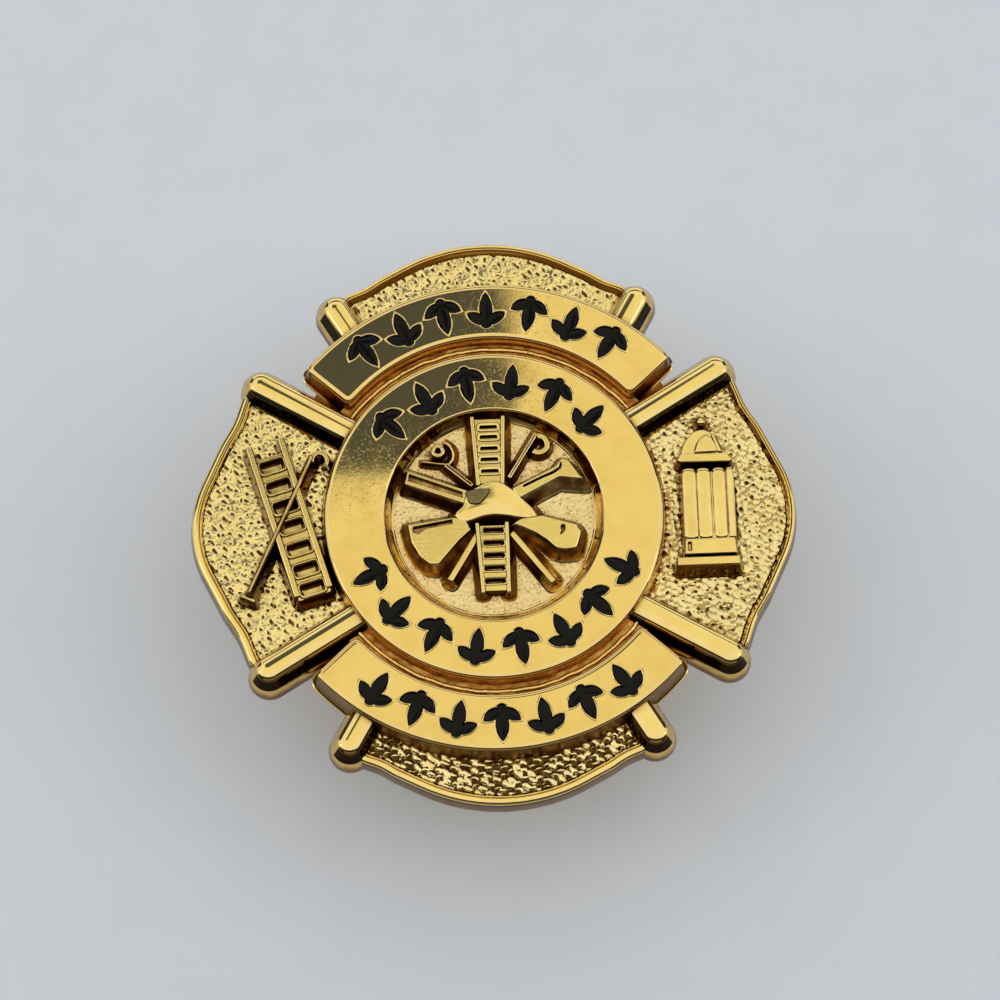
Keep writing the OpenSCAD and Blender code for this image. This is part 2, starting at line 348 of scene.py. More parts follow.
def goldPlating(name, finish, grain):
    # Gold plating over struck brass: a warm mirror on what is raised and level, with painted shade in
    # dark brown down the walls and in hollows
    look = {**goldLook, **goldLook[finish]}
    made, tree, shader, place = startMaterial(name)
    patches = node(tree, "TexNoise", Vector=place, Scale=700.0, Detail=4.0, Roughness=0.6)  # 1.4 mm
    grit = node(tree, "TexNoise", Vector=place, Scale=1000 / grain, Detail=3.0, Roughness=0.7)
    lines = node(tree, "Mapping", Vector=place, Rotation=(0, 0, 0.5), Scale=(1, 14, 1))
    hair = node(tree, "TexNoise", Vector=lines, Scale=900.0, Detail=5.0, Roughness=0.75)  # 1.1 by 0.08 mm
    rough = node(
        tree, "MapRange", Value=patches, From_Min=0.3, From_Max=0.7,
        To_Min=look["rough"] - look["spread"], To_Max=look["rough"] + look["spread"],
    )
    # Painted shade: the colour runs to deep brown where little is open round the metal and where it faces
    # away from up
    openness = node(tree, "AmbientOcclusion", {"samples": 6}, Distance=look["reach"])
    facing = node(tree, "SeparateXYZ", Vector=node(tree, "NewGeometry").outputs["Normal"])
    low, high = look["slope"]
    level = node(tree, "MapRange", Value=facing.outputs["Z"], From_Min=low, From_Max=high)
    streaks = node(tree, "TexNoise", Vector=place, Scale=1600.0, Detail=3.0)  # 0.6 mm
    stain = node(tree, "MapRange", Value=streaks, From_Min=0.35, From_Max=0.75, To_Max=look["patch"])
    changes = [("MULTIPLY", level), ("ADD", stain)]
    if look["speck"]:
        specks = node(tree, "MapRange", Value=grit, From_Min=0.5, From_Max=0.72, To_Max=look["speck"])
        changes.append(("SUBTRACT", specks))
    pit = node(tree, "Attribute", {"attribute_name": "pit"})  # painted shade in the pits of a field and between its beads
    changes.append(("SUBTRACT", pit.outputs["Fac"]))
    tone = openness.outputs["AO"]
    for operation, value in changes:
        tone = node(tree, "Math", {"operation": operation}, in0=tone, in1=value)
    colour = node(tree, "ValToRGB", Fac=tone)
    stops = colour.color_ramp.elements
    stops[0].position, stops[0].color = look["stops"][0], hexColour(look["deep"])
    stops[1].position, stops[1].color = look["stops"][2], hexColour(look["plate"])
    middle = stops.new(look["stops"][1])
    middle.color = hexColour(look["middle"])
    cloud = node(tree, "MapRange", Value=patches, From_Min=0.35, From_Max=0.7, To_Max=look["mottle"])
    kind = {"data_type": "RGBA", "blend_type": "MULTIPLY"}
    mottled = node(tree, "Mix", kind, in0=cloud, in6=colour, in7=hexColour("E3CFA6"))
    lift = node(tree, "Math", {"operation": "ADD"}, in0=grit, in1=hair)
    bump = node(tree, "Bump", Height=lift, Strength=look["bump"], Distance=0.00002)
    if look["scratch"]:
        scratches = node(tree, "MapRange", Value=grit, From_Min=0.58, From_Max=0.75)
        fine = {"Strength": look["scratch"], "Distance": 0.00001}
        bump = node(tree, "Bump", Height=scratches, Normal=bump, **fine)
    joinShader(tree, shader, mottled.outputs[2], rough, bump)
    shader.inputs["Metallic"].default_value = 1.0
    return made


def blackEnamel():
    # Soft enamel baked into sunk cells: deep black, glossy, with a faint orange-peel skin
    made, tree, shader, place = startMaterial("bakedBlackEnamel")
    peel = node(tree, "TexNoise", Vector=place, Scale=2500.0, Detail=2.0)  # 0.4 mm
    dust = node(tree, "TexNoise", Vector=place, Scale=9000.0, Detail=2.0)  # 0.11 mm
    rough = node(tree, "MapRange", Value=dust, To_Min=0.06, To_Max=0.2)
    kind = {"data_type": "RGBA"}
    tone = node(tree, "Mix", kind, in0=dust, in6=hexColour("070605"), in7=hexColour("120F0B"))
    bump = node(tree, "Bump", Height=peel, Strength=0.15, Distance=0.00002)
    joinShader(tree, shader, tone.outputs[2], rough, bump)
    shader.inputs["IOR"].default_value = 1.45
    shader.inputs["Specular IOR Level"].default_value = 0.18
    return made


def turnedBrass():
    # Turned and lacquered brass of the clasp: fine rings from the lathe, a little duller than the plating
    made, tree, shader, place = startMaterial("turnedBrass")
    patches = node(tree, "TexNoise", Vector=place, Scale=600.0, Detail=4.0)  # 1.7 mm
    rings = node(tree, "Mapping", Vector=place, Scale=(0.02, 0.02, 1))
    cut = node(tree, "TexNoise", Vector=rings, Scale=9000.0, Detail=2.0)  # 0.11 mm
    rough = node(tree, "MapRange", Value=patches, To_Min=0.16, To_Max=0.34)
    kind = {"data_type": "RGBA"}
    tone = node(tree, "Mix", kind, in0=patches, in6=hexColour("E3BE6A"), in7=hexColour("F1D388"))
    bump = node(tree, "Bump", Height=cut, Strength=0.2, Distance=0.00002)
    joinShader(tree, shader, tone.outputs[2], rough, bump)
    shader.inputs["Metallic"].default_value = 1.0
    return made


polishedGold = goldPlating("polishedGoldPlating", "face", 0.12)
pebbledGold = goldPlating("pebbledGoldPlating", "pebble", 0.08)
blastedGold = goldPlating("sandblastedGoldPlating", "blast", 0.09)
lineGold = goldPlating("ridgeGoldPlating", "line", 0.1)
struckGold = goldPlating("struckGoldPlating", "wall", 0.1)
shadedEdgeGold = goldPlating("unpolishedShadedEdgePlating", "edge", 0.1)
barGold = goldPlating("polishedBarPlating", "bar", 0.12)
rimGold = goldPlating("polishedRimPlating", "rim", 0.12)
dullShadedSideGold = goldPlating("dullShadedBarSidePlating", "side", 0.1)
pinGold = goldPlating("drawnPinPlating", "pin", 0.1)
lowGold = goldPlating("shallowStruckPlating", "low", 0.1)
shadedGrooveGold = goldPlating("darkenedGroovePlating", "groove", 0.1)
enamelBlack = blackEnamel()
clutchBrass = turnedBrass()
print("materials made")


plateSize = {  # each arm's tip by its reach, radius and half angle, and the hollow of its flanks
    "sideTip": 12.7, "sideTipR": 4.7, "sideTipA": 25.6, "sideHollow": 0.1, "uprightTip": 12.3,
    "uprightTipR": 7.6, "uprightTipA": 27, "uprightHollow": 0.06, "armCorner": 5.9, "notchR": 9.4,
    "floorZ": 0.85, "grooveZ": 1.25,
}
barSize = {  # round ends of the bars of the side and the upright arms
    "side": (9.56, 6.19), "upright": (6.31, 9.43), "slope": 30.5, "sideLength": 5.0,
    "uprightLength": 2.6, "foot": 0.9,
}
floorZ = plateSize["floorZ"]
grooveZ = plateSize["grooveZ"]
armNames = ("Right", "Upper", "Left", "Lower")


def armContour(kind, inset=0):
    # One arm along +X from its lower corner round the tip to its upper corner, its ends inside the bars
    tip, tipR, tipA = plateSize[kind + "Tip"], plateSize[kind + "TipR"], plateSize[kind + "TipA"]
    shoulder = Vector((tip - tipR, 0)) + spot(tipR, tipA)
    along = spot(1, tipA + 90)
    out = spot(1, tipA)
    flank = (plateSize["armCorner"] - shoulder.y) / math.cos(math.radians(tipA))
    upper = []
    for i in range(1, 25):
        t = i / 24
        hollow = 0
        if t > 0.4:
            hollow = plateSize[kind + "Hollow"] * math.sin(math.pi * (t - 0.4) / 0.6) ** 2
        upper.append(shoulder + along * flank * t - out * (hollow + inset))
    barTip = Vector(barSize[kind] if kind == "side" else barSize[kind][::-1])
    upper.append(upper[-1].lerp(barTip, 0.5))
    arcSteps = 28
    middle = Vector((tip - tipR, 0))
    tipArc = [middle + spot(tipR - inset, tipA * (2 * i / arcSteps - 1)) for i in range(arcSteps + 1)]
    lower = [Vector((p.x, -p.y)) for p in reversed(upper)]
    return lower + tipArc + upper


def arm(quarter, inset=0):
    # quarter 0 is the right arm, 1 the upper, 2 the left and 3 the lower
    return [turned(p, 90 * quarter) for p in armContour("upright" if quarter % 2 else "side", inset)]


def barPlaces():
    places = []
    for sx in (1, -1):
        for sy in (1, -1):
            for kind in ("side", "upright"):
                slope = math.radians(barSize["slope"] if kind == "side" else 90 - barSize["slope"])
                tip = Vector((barSize[kind][0] * sx, barSize[kind][1] * sy))
                inwards = -Vector((math.cos(slope) * sx, math.sin(slope) * sy))
                places.append((tip, inwards, barSize[kind + "Length"]))
    return places


def barOutline(tip, inwards, radius, length):
    # A long outline with one round end at the tip
    heading = math.degrees(math.atan2(inwards.y, inwards.x))
    curve = [spot(radius, heading + 90 + 180 * i / 20, tip) for i in range(21)]
    side = turned(inwards, 90) * radius
    return curve + [tip + inwards * length - side, tip + inwards * length + side]


def slab(name, outline):
    bm = bmesh.new()
    loft(bm, [atHeight(outline, 0), atHeight(outline, 1)])
    bmesh.ops.recalc_face_normals(bm, faces=bm.faces)
    return newObject(name, bm)


def plateOutline():
    # The outline of disc, arms and bar feet together, joined as slabs and read back from their top
    base = slab("plateDisc", [spot(plateSize["notchR"], 360 * i / 160) for i in range(160)])
    others = []
    for q in range(4):
        root = [turned((3, 3), 90 * q), turned((3, -3), 90 * q)]
        others.append(slab("armSlab", arm(q) + root))
    for tip, inwards, length in barPlaces():
        foot = barOutline(tip + Vector((0, -0.08)), inwards, barSize["foot"], length * 0.8)
        others.append(slab("barSlab", foot))
    for other in others:
        union = base.modifiers.new("union", "BOOLEAN")
        union.operation = "UNION"
        union.solver = "EXACT"
        union.object = other
    bpy.context.view_layer.update()
    joined = base.evaluated_get(bpy.context.evaluated_depsgraph_get())
    bm = bmesh.new()
    bm.from_mesh(joined.to_mesh())
    bmesh.ops.remove_doubles(bm, verts=bm.verts, dist=0.01)
    top = [f for f in bm.faces if f.calc_center_median().z > 0.99]
    lid = bmesh.ops.dissolve_faces(bm, faces=top, use_verts=False)["region"]
    lid = max(lid, key=lambda f: f.calc_area())
    lid.normal_update()
    outline = [Vector((v.co.x, v.co.y)) for v in lid.verts]
    if lid.normal.z < 0:
        outline.reverse()
    bm.free()
    for other in others + [base]:
        mesh = other.data
        bpy.data.objects.remove(other)
        bpy.data.meshes.remove(mesh)
    return outline


outline = plateOutline()
print("plate outline has", len(outline), "corners")
plateLevels = [
    (-0.34, 0.0), (-0.18, 0.012), (-0.07, 0.05), (-0.015, 0.12), (0.0, 0.22), (-0.02, 0.45),
    (-0.05, 0.68), (-0.07, floorZ - 0.01), (-0.1, floorZ),
]
bm = bmesh.new()
loft(bm, [atHeight(grown(outline, g), z) for g, z in plateLevels])
# The plate's outer walls take the edge's finish, whose dark brown is painted shade
for face in bm.faces:
    face.material_index = 0 if face.calc_center_median().z < 0.02 else 1
piece("plate", bm, [blastedGold, shadedEdgeGold])

rimSize = {  # share of the wide lip and width of the wall inside it, for each arm
    "Right": (0.0, 0.17),
    "Upper": (0.0, 0.22),
    "Left": (1.0, 0.08),
    "Lower": (1.0, 0.08),
}
narrowLip = [  # how far inside the arm's edge, and height
    (0.06, 0.6), (0.065, 0.86), (0.08, 0.98), (0.105, 1.05), (0.14, 1.095), (0.18, 1.115), (0.215, 1.105),
    (0.235, 1.07), (0.25, 1.055), (0.265, 1.07), (0.285, 1.09), (0.31, 1.085), (0.335, 1.05),
]
wideLip = [
    (0.05, 0.6), (0.055, 0.86), (0.075, 0.98), (0.11, 1.05), (0.17, 1.09), (0.26, 1.115), (0.345, 1.11),
    (0.375, 1.07), (0.39, 1.055), (0.405, 1.065), (0.425, 1.085), (0.45, 1.08), (0.475, 1.04),
]


def rimProfile(side):
    wide, wall = rimSize[side]
    lip = [(a[0] + (b[0] - a[0]) * wide, a[1] + (b[1] - a[1]) * wide) for a, b in zip(narrowLip, wideLip)]
    crest = lip[-1][0]
    inner = [(crest + wall * t, 1.05 - 0.19 * t) for t in (0.25, 0.5, 0.75, 1.0)]
    foot = crest + wall
    return [(foot + 0.2, 0.6)] + lip + inner + [(foot + 0.1, 0.84), (foot + 0.2, 0.8)]


def makeRim(quarter, side):
    bm = bmesh.new()
    profile = rimProfile(side)
    curves = [arm(quarter, inset) for inset, z in profile]
    loops = []
    for i in range(len(curves[0])):
        loops.append([(curve[i].x, curve[i].y, z) for curve, (inset, z) in zip(curves, profile)])
    loft(bm, loops)
    return bm


for quarter, side in enumerate(armNames):
    piece("rim" + side, makeRim(quarter, side), rimGold)
print("plate and rims made")


barSection = [  # half width and height
    (0.84, floorZ - 0.2), (0.84, floorZ - 0.02), (0.8, 0.94), (0.75, 1.05), (0.69, 1.17), (0.63, 1.3),
    (0.58, 1.42), (0.53, 1.52), (0.47, 1.595), (0.4, 1.648), (0.31, 1.68), (0.2, 1.698), (0.1, 1.707),
    (0.03, 1.71),
]
bm = bmesh.new()
for tip, inwards, length in barPlaces():
    loops = []
    for half, z in barSection:  # the lower walls lean out further than the upper ones
        drop = Vector((0, -0.12 * (1.71 - z)))
        loops.append(atHeight([p + drop for p in barOutline(tip, inwards, half, length)], z))
    loft(bm, loops)
# Faces that turn sideways take the side finish, darker as painted shade
for face in bm.faces:
    face.normal_update()
    low = face.calc_center_median().z < 1.0
    face.material_index = 1 if face.normal.z < 0.72 and (low or face.normal.y > -0.3) else 0
piece("halfRoundBars", bm, [barGold, dullShadedSideGold])
print("bars made")


ringSize = {"outer": 6.95, "inner": 4.6, "medalZ": 1.38}  # medalZ is the ground inside it
bannerSize = {"inner": 7.9, "outer": 9.95, "half": 48.3, "corner": 0.16, "steps": 72}
medalZ = ringSize["medalZ"]
spraySize = {
    "leaf": 1.35, "width": 0.52, "bud": 0.2,
    "foot": 0.42,  # share of the leaf that lies below the band's middle line
    "sideTurn": 58, "sideLong": 0.66, "sideWide": 0.86,
    "bannerStep": 11.6,  # degrees from one spray to the next
    "ringStep": 18.5,
}


def leafReach(length, width, grow, degrees):
    # How far a ray from the leaf's foot runs before it leaves the leaf, which stands along 90 degrees
    long = length + 4 * grow
    wide = width + 2 * grow
    r = (long * long + wide * wide) / (4 * wide)
    ray = spot(1, degrees)
    enter, leave = 0, 1e9
    for side in (-1, 1):
        centre = Vector((side * (r - wide / 2), length / 2))
        along = centre.dot(ray)
        under = along * along - centre.length_squared + r * r
        if under < 0:
            return 0
        enter = max(enter, along - math.sqrt(under))
        leave = min(leave, along + math.sqrt(under))
    return leave if leave > enter else 0


def sprayOutline(grow, scale=1):
    # Three leaves from one bud, as the distance from the bud every two degrees
    size = spraySize
    outline = []
    for degrees in range(0, 360, 2):
        reach = [size["bud"] + grow, leafReach(size["leaf"], size["width"], grow, degrees)]
        long = size["leaf"] * size["sideLong"]
        wide = size["width"] * size["sideWide"]
        for turn in (-size["sideTurn"], size["sideTurn"]):
            reach.append(leafReach(long, wide, grow, degrees - turn))
        outline.append(spot(max(reach) * scale, degrees))
    return outline


def sprayAt(place, grow, scale=1):
    radius, degrees, inwards = place
    foot = Vector((0, -spraySize["leaf"] * spraySize["foot"]))
    centre = Vector((0, radius))
    side = -1 if inwards else 1
    return [turned((p + foot) * side + centre, -degrees) for p in sprayOutline(grow, scale)]


bannerMid = (bannerSize["inner"] + bannerSize["outer"]) / 2
ringMid = (ringSize["outer"] + ringSize["inner"]) / 2


def sprayRow(radius, middle, first, last, step):
    # Places side by side round the badge, every second one turned over
    mean = (first + last) / 2
    return [(radius, middle + (i - mean) * step, i % 2) for i in range(first, last + 1)]


wideStep, closeStep = spraySize["ringStep"], spraySize["bannerStep"]
places = {
    "upper": sprayRow(bannerMid, 0, 1, 7, closeStep),
    "ring": sprayRow(ringMid, 0, 1, 6, wideStep) + sprayRow(ringMid, 180, 7, 14, wideStep),
    "lower": sprayRow(bannerMid, 180, 1, 7, closeStep),
}

cellLevels = [  # a thin raised lip, then the wall of the cell
    (0.08, 0.0), (0.066, 0.014), (0.048, 0.022), (0.03, 0.016), (0.014, -0.008), (0.0, -0.06),
    (-0.01, -0.28),
]


def sinkCell(bm, place):
    floor = loft(bm, [atHeight(sprayAt(place, g), faceZ + z) for g, z in cellLevels])
    for face in list(bm.faces):
        lid = len(face.verts) == len(floor.verts) and face.calc_center_median().z > faceZ - 0.001
        if lid and face is not floor:
            bm.faces.remove(face)


bandLevels = [  # growth and height of the walls of ring and banners
    (0.42, floorZ - 0.12), (0.42, floorZ + 0.005), (0.36, floorZ + 0.03), (0.31, floorZ + 0.1),
    (0.27, floorZ + 0.24), (0.19, faceZ - 0.22), (0.175, faceZ - 0.14), (0.15, faceZ - 0.08),
    (0.11, faceZ - 0.04), (0.06, faceZ - 0.017), (0.01, faceZ - 0.006), (-0.05, faceZ),
]


def wallFaces(bm, low, high):
    # Walls from low to high off the badge's middle take the grooves' finish, outer ones the edge's; both
    # carry painted shade
    for face in bm.faces:
        face.normal_update()
        middle = face.calc_center_median()
        if abs(face.normal.z) < 0.75 and middle.z < faceZ - 0.06 and middle.xy.length > low:
            face.material_index = 1 if middle.xy.length < high else 2


def makeRing():
    section = [(ringSize["outer"] - 0.05 + g, z) for g, z in reversed(bandLevels)]
    inner = [
        (0.44, medalZ - 0.15), (0.43, medalZ + 0.01), (0.39, medalZ + 0.04), (0.35, medalZ + 0.03),
        (0.3, medalZ + 0.06), (0.1, faceZ - 0.2), (0.065, faceZ - 0.11), (0.03, faceZ - 0.045),
        (-0.01, faceZ - 0.012), (-0.06, faceZ),
    ]
    section += [(ringSize["inner"] - g, z) for g, z in inner]
    bm = spun(section, 216)
    for place in places["ring"]:
        sinkCell(bm, place)
    closeFace(bm, faceZ)
    wallFaces(bm, ringSize["outer"], 9)
    return bm


def bannerLoop(middle, grow):
    # Outline of one banner, its middle at that angle, with small round corners
    soft = bannerSize["corner"] + max(0, grow)
    steps = bannerSize["steps"]
    points = []
    for radius, sweep in ((bannerSize["outer"] + grow, 1), (bannerSize["inner"] - grow, -1)):
        start = -(bannerSize["half"] + math.degrees(grow / radius)) * sweep
        cut = math.degrees(soft / radius) * sweep
        corner = spot(radius, start + middle)
        away = spot(radius - sweep * soft, start + middle)
        near = spot(radius, start + cut + middle)
        points += [curved(away, corner, near, i / 5) for i in range(5)]
        for i in range(steps + 1):
            points.append(spot(radius, start + cut + (-2 * start - 2 * cut) * i / steps + middle))
        corner = spot(radius, -start + middle)
        away = spot(radius - sweep * soft, -start + middle)
        near = points[-1]
        points += [curved(near, corner, away, i / 5) for i in range(1, 6)]
    return points


def makeBanner(middle, cells):
    bm = bmesh.new()
    lid = loft(bm, [atHeight(bannerLoop(middle, g), z) for g, z in bandLevels])
    bm.faces.remove(lid)
    wallFaces(bm, 5, bannerMid)
    for place in cells:
        sinkCell(bm, place)
    closeFace(bm, faceZ)
    return bm


piece("ring", makeRing(), [polishedGold, shadedGrooveGold])
piece("upperBanner", makeBanner(90, places["upper"]), [polishedGold, shadedGrooveGold, shadedEdgeGold])
piece("lowerBanner", makeBanner(-90, places["lower"]), [polishedGold, shadedGrooveGold, shadedEdgeGold])
print("ring and banners made")

enamelLevels = [  # growth, scale about the bud and height against the face
    (-0.012, 1, -0.27), (-0.004, 1, -0.06), (-0.008, 1, -0.035), (-0.03, 0.99, -0.05),
    (-0.05, 0.94, -0.062), (-0.05, 0.7, -0.07), (-0.05, 0.4, -0.074), (-0.05, 0.1, -0.076),
]
for group in places:
    for i, place in enumerate(places[group]):
        bm = bmesh.new()
        loft(bm, [atHeight(sprayAt(place, g, s), faceZ + z) for g, s, z in enamelLevels])
        name = group + "_enamel_" + str(i + 1)
        piece(group + "Enamel" + str(i + 1), bm, enamelBlack, name)
print("enamel made")


pebbleSize = {
    "grid": 0.038,
    "pits": {"wide": 0.44, "tall": 0.35, "reach": 0.15, "deep": 0.06, "stray": 0.7},
    "smallPits": {"wide": 0.34, "tall": 0.3, "reach": 0.08, "deep": 0.03, "stray": 0.7},
    "bump": 0.017,
    "holes": {"wide": 0.5, "tall": 0.47, "reach": 0.13, "deep": 0.04, "stray": 0.7},
    "beads": {
        "wide": 0.34, "tall": 0.29, "reach": 0.178, "high": 0.085, "dark": 0.78, "fade": 2.6,
        "stray": 0.34,
    },
    "smallBeads": {
        "wide": 0.29, "tall": 0.25, "reach": 0.154, "high": 0.045, "dark": 0.42, "fade": 1.6,
        "stray": 0.38,
    },
    "lift": 0.09,  # how high the middle of the pebbling stands over the plain floor
    "box": ((6, -6.2), (12.8, 6.2)),  # round the right arm's field
    "sideHole": 6.8,  # what ring and banners cover
    "uprightHole": 9.7,
}
grooveSize = {  # between ring and banner; half and ridgeSweep are in degrees
    "inner": 7.05, "outer": 8.0, "half": 53, "boxX": 6.5, "boxY": (4.2, 8.05), "ridgeR": 7.44,
    "ridgeSweep": 103, "ridgeHigh": 0.09,
}


def nearest(x, y, seed, size, flat=0.62):
    # How far the closest spot of a loose slanting brickwork is, as a share of that spot's reach; spots
    # differ in place, size and turn
    x, y = turned((x, y), 27)
    stray = size["stray"]
    row = math.floor(y / size["tall"])
    best = 9
    for b in (row - 1, row, row + 1):
        shift = 0.5 * (b % 2)
        column = math.floor(x / size["wide"] - shift)
        for a in (column - 1, column, column + 1):
            chance = noise.cell_vector((a + 0.5, b + 0.5, seed))
            u = x - (a + shift + 0.5 + (chance.x - 0.5) * stray) * size["wide"]
            v = y - (b + 0.5 + (chance.y - 0.5) * stray) * size["tall"] + (chance.z - 0.5) * u
            reach = size["reach"] * (0.7 + 0.6 * chance.z)
            best = min(best, math.hypot(u / reach, v / (reach * flat)))
    return best


def pebble(x, y, seed):
    # Bright bumpy ground with many little pits painted brownish as shade; gives the height and how much
    # painted shade it takes
    bend = noise.noise((x / 0.2, y / 0.2, seed + 4)) * 0.13
    pit = max(0, 1 - nearest(x + bend, y - bend, seed, pebbleSize["pits"]))
    small = max(0, 1 - nearest(x - bend, y + bend, seed + 20, pebbleSize["smallPits"]))
    bump = noise.noise((x / 0.13, y / 0.13, seed)) * 0.5 + noise.noise((x / 0.4, y / 0.4, seed + 3))
    deep = max(pit * pebbleSize["pits"]["deep"], small * pebbleSize["smallPits"]["deep"])
    dark = min(0.9, max(0, pit * 1.35 - 0.15, small - 0.2))
    return bump * pebbleSize["bump"] - deep, dark


def beads(x, y, seed, size=pebbleSize["beads"]):
    # Small raised beads with painted shade on the ground between them
    bend = noise.noise((x / 0.3, y / 0.3, seed + 4)) * 0.08
    away = nearest(x + bend, y - bend, seed, size, 0.85)
    dome = max(0, 1 - away * away)
    return size["high"] * (dome - 0.7), min(1, max(0, size["dark"] - size["fade"] * dome))


def smallBeads(x, y, seed):
    # Fine beads with light ground between them, and pits painted dark as shade here and there
    rise, dark = beads(x, y, seed, pebbleSize["smallBeads"])
    pit = max(0, 1 - nearest(x, y, seed + 9, pebbleSize["holes"]))
    return rise - pit * pebbleSize["holes"]["deep"], max(dark, min(1, pit * 1.8 - 0.3))


def lump(x, y, seed):
    # Soft uneven floor of the grooves
    fine = noise.noise((x / 0.3, y / 0.3, seed)) * 0.6
    return 0.05 * (fine + noise.noise((x / 0.9, y / 0.9, seed + 2))), 0


def inside(point, outline):
    hit = False
    for a, b in zip(outline, outline[1:] + outline[:1]):
        if (a.y > point.y) != (b.y > point.y):
            if point.x < (b.x - a.x) * (point.y - a.y) / (b.y - a.y) + a.x:
                hit = not hit
    return hit


def makeFloor(low, high, keep, shape, seed, level, step=pebbleSize["grid"]):
    # A fine grid over the box, kept where keep says so and shaped from above, with a closed underside
    wide = high[0] - low[0]
    tall = high[1] - low[1]
    bm = bmesh.new()
    pit = bm.verts.layers.float.new("pit")
    bmesh.ops.create_grid(bm, x_segments=int(wide / step), y_segments=int(tall / step), size=0.5)
    bmesh.ops.scale(bm, verts=bm.verts, vec=(wide, tall, 1))
    bmesh.ops.translate(bm, verts=bm.verts, vec=((high[0] + low[0]) / 2, (high[1] + low[1]) / 2, level))
    bmesh.ops.delete(bm, geom=[v for v in bm.verts if not keep(v.co)], context="VERTS")
    bmesh.ops.delete(bm, geom=[v for v in bm.verts if not v.link_faces], context="VERTS")
    for v in bm.verts:
        # The shape's painted shade goes into the pit attribute
        rise, v[pit] = shape(v.co.x, v.co.y, seed)
        v.co.z += rise
    border = [e for e in bm.edges if e.is_boundary]
    skirt = bmesh.ops.extrude_edge_only(bm, edges=border)["geom"]
    for v in skirt:
        if isinstance(v, bmesh.types.BMVert):
            v.co.z = level - 0.2
    border = [e for e in skirt if isinstance(e, bmesh.types.BMEdge) and e.is_boundary]
    bmesh.ops.holes_fill(bm, edges=border, sides=0)
    return bm


def fieldKeeper(quarter):
    # Inside the rim of one arm, and between the middle lines of its two bars
    lip = rimProfile(armNames[quarter])
    edge = arm(quarter, lip[-3][0] - 0.03)
    edge += [turned((2, 2), 90 * quarter), turned((2, -2), 90 * quarter)]
    facing = spot(1, 90 * quarter)
    onSide = quarter % 2 == 0
    walls = []
    for tip, inwards, length in barPlaces():
        if (abs(tip.x) > abs(tip.y)) == onSide and tip.dot(facing) > 0:
            normal = turned(inwards, 90)
            if normal.dot(facing * 8 - tip) < 0:
                normal = -normal
            walls.append((tip, normal))
    hole = pebbleSize["sideHole" if onSide else "uprightHole"]

    def keep(co):
        p = Vector((co.x, co.y))
        clear = p.length >= hole and all((p - tip).dot(normal) >= 0 for tip, normal in walls)
        return clear and inside(p, edge)

    return keep


shapes = {"Right": smallBeads, "Upper": pebble, "Left": pebble, "Lower": beads}
for quarter, side in enumerate(armNames):
    corners = [turned(p, 90 * quarter) for p in pebbleSize["box"]]
    low, high = [(pick(p.x for p in corners), pick(p.y for p in corners)) for pick in (min, max)]
    level = floorZ + pebbleSize["lift"]
    bm = makeFloor(low, high, fieldKeeper(quarter), shapes[side], quarter * 7.3 + 1, level)
    piece("pebbledField" + side, bm, pebbledGold)


def gapKeeper(sign):
    def keep(co):
        p = Vector((co.x, co.y * sign))
        across = abs(math.degrees(math.atan2(p.x, p.y)))
        return grooveSize["inner"] < p.length < grooveSize["outer"] and across < grooveSize["half"]

    return keep


for sign, side in ((1, "Upper"), (-1, "Lower")):
    near, far = sorted(sign * y for y in grooveSize["boxY"])
    low, high = (-grooveSize["boxX"], near), (grooveSize["boxX"], far)
    bm = makeFloor(low, high, gapKeeper(sign), lump, 11 + sign, grooveZ)
    piece("grooveFloor" + side, bm, shadedGrooveGold)


def makeDieLine(sign):
    # A thin uneven ridge that runs along the middle of a groove
    bm = bmesh.new()
    loops = []
    for i in range(121):
        degrees = 90 * sign + (i / 120 - 0.5) * grooveSize["ridgeSweep"]
        radius = grooveSize["ridgeR"] + 0.05 * noise.noise((degrees / 5, sign, 1))
        high = grooveZ + grooveSize["ridgeHigh"] + 0.05 * noise.noise((degrees / 2.2, sign, 2))
        low = grooveZ - 0.1
        section = [
            (-0.12, low), (-0.09, high - 0.05), (-0.05, high - 0.01), (0.0, high), (0.05, high - 0.01),
            (0.09, high - 0.05), (0.12, low),
        ]
        loops.append([(*spot(radius + r, degrees), z) for r, z in section])
    loft(bm, loops)
    return bm


for sign, side in ((1, "Upper"), (-1, "Lower")):
    piece("dieLine" + side, makeDieLine(sign), lineGold)
print("fields made")


figureZ = 1.78  # top of the figures on the side arms
ladderSize = {
    "middle": (-8.56, 0.36), "lean": 16, "foot": -3.5, "head": 3.35, "wide": 1.66, "rail": 0.26,
    "openings": (-3.3, -2.45, -1.5, -0.5, 0.41, 1.33, 2.25),
    "opening": (0.49, 0.24),  # half its width and height
    "body": (-3.7, 2.72),
}


def onLadder(low, high):
    # Corners of a box that leans with the ladder
    middle = Vector(ladderSize["middle"])
    return [turned(p, ladderSize["lean"]) + middle for p in between(low, high)]


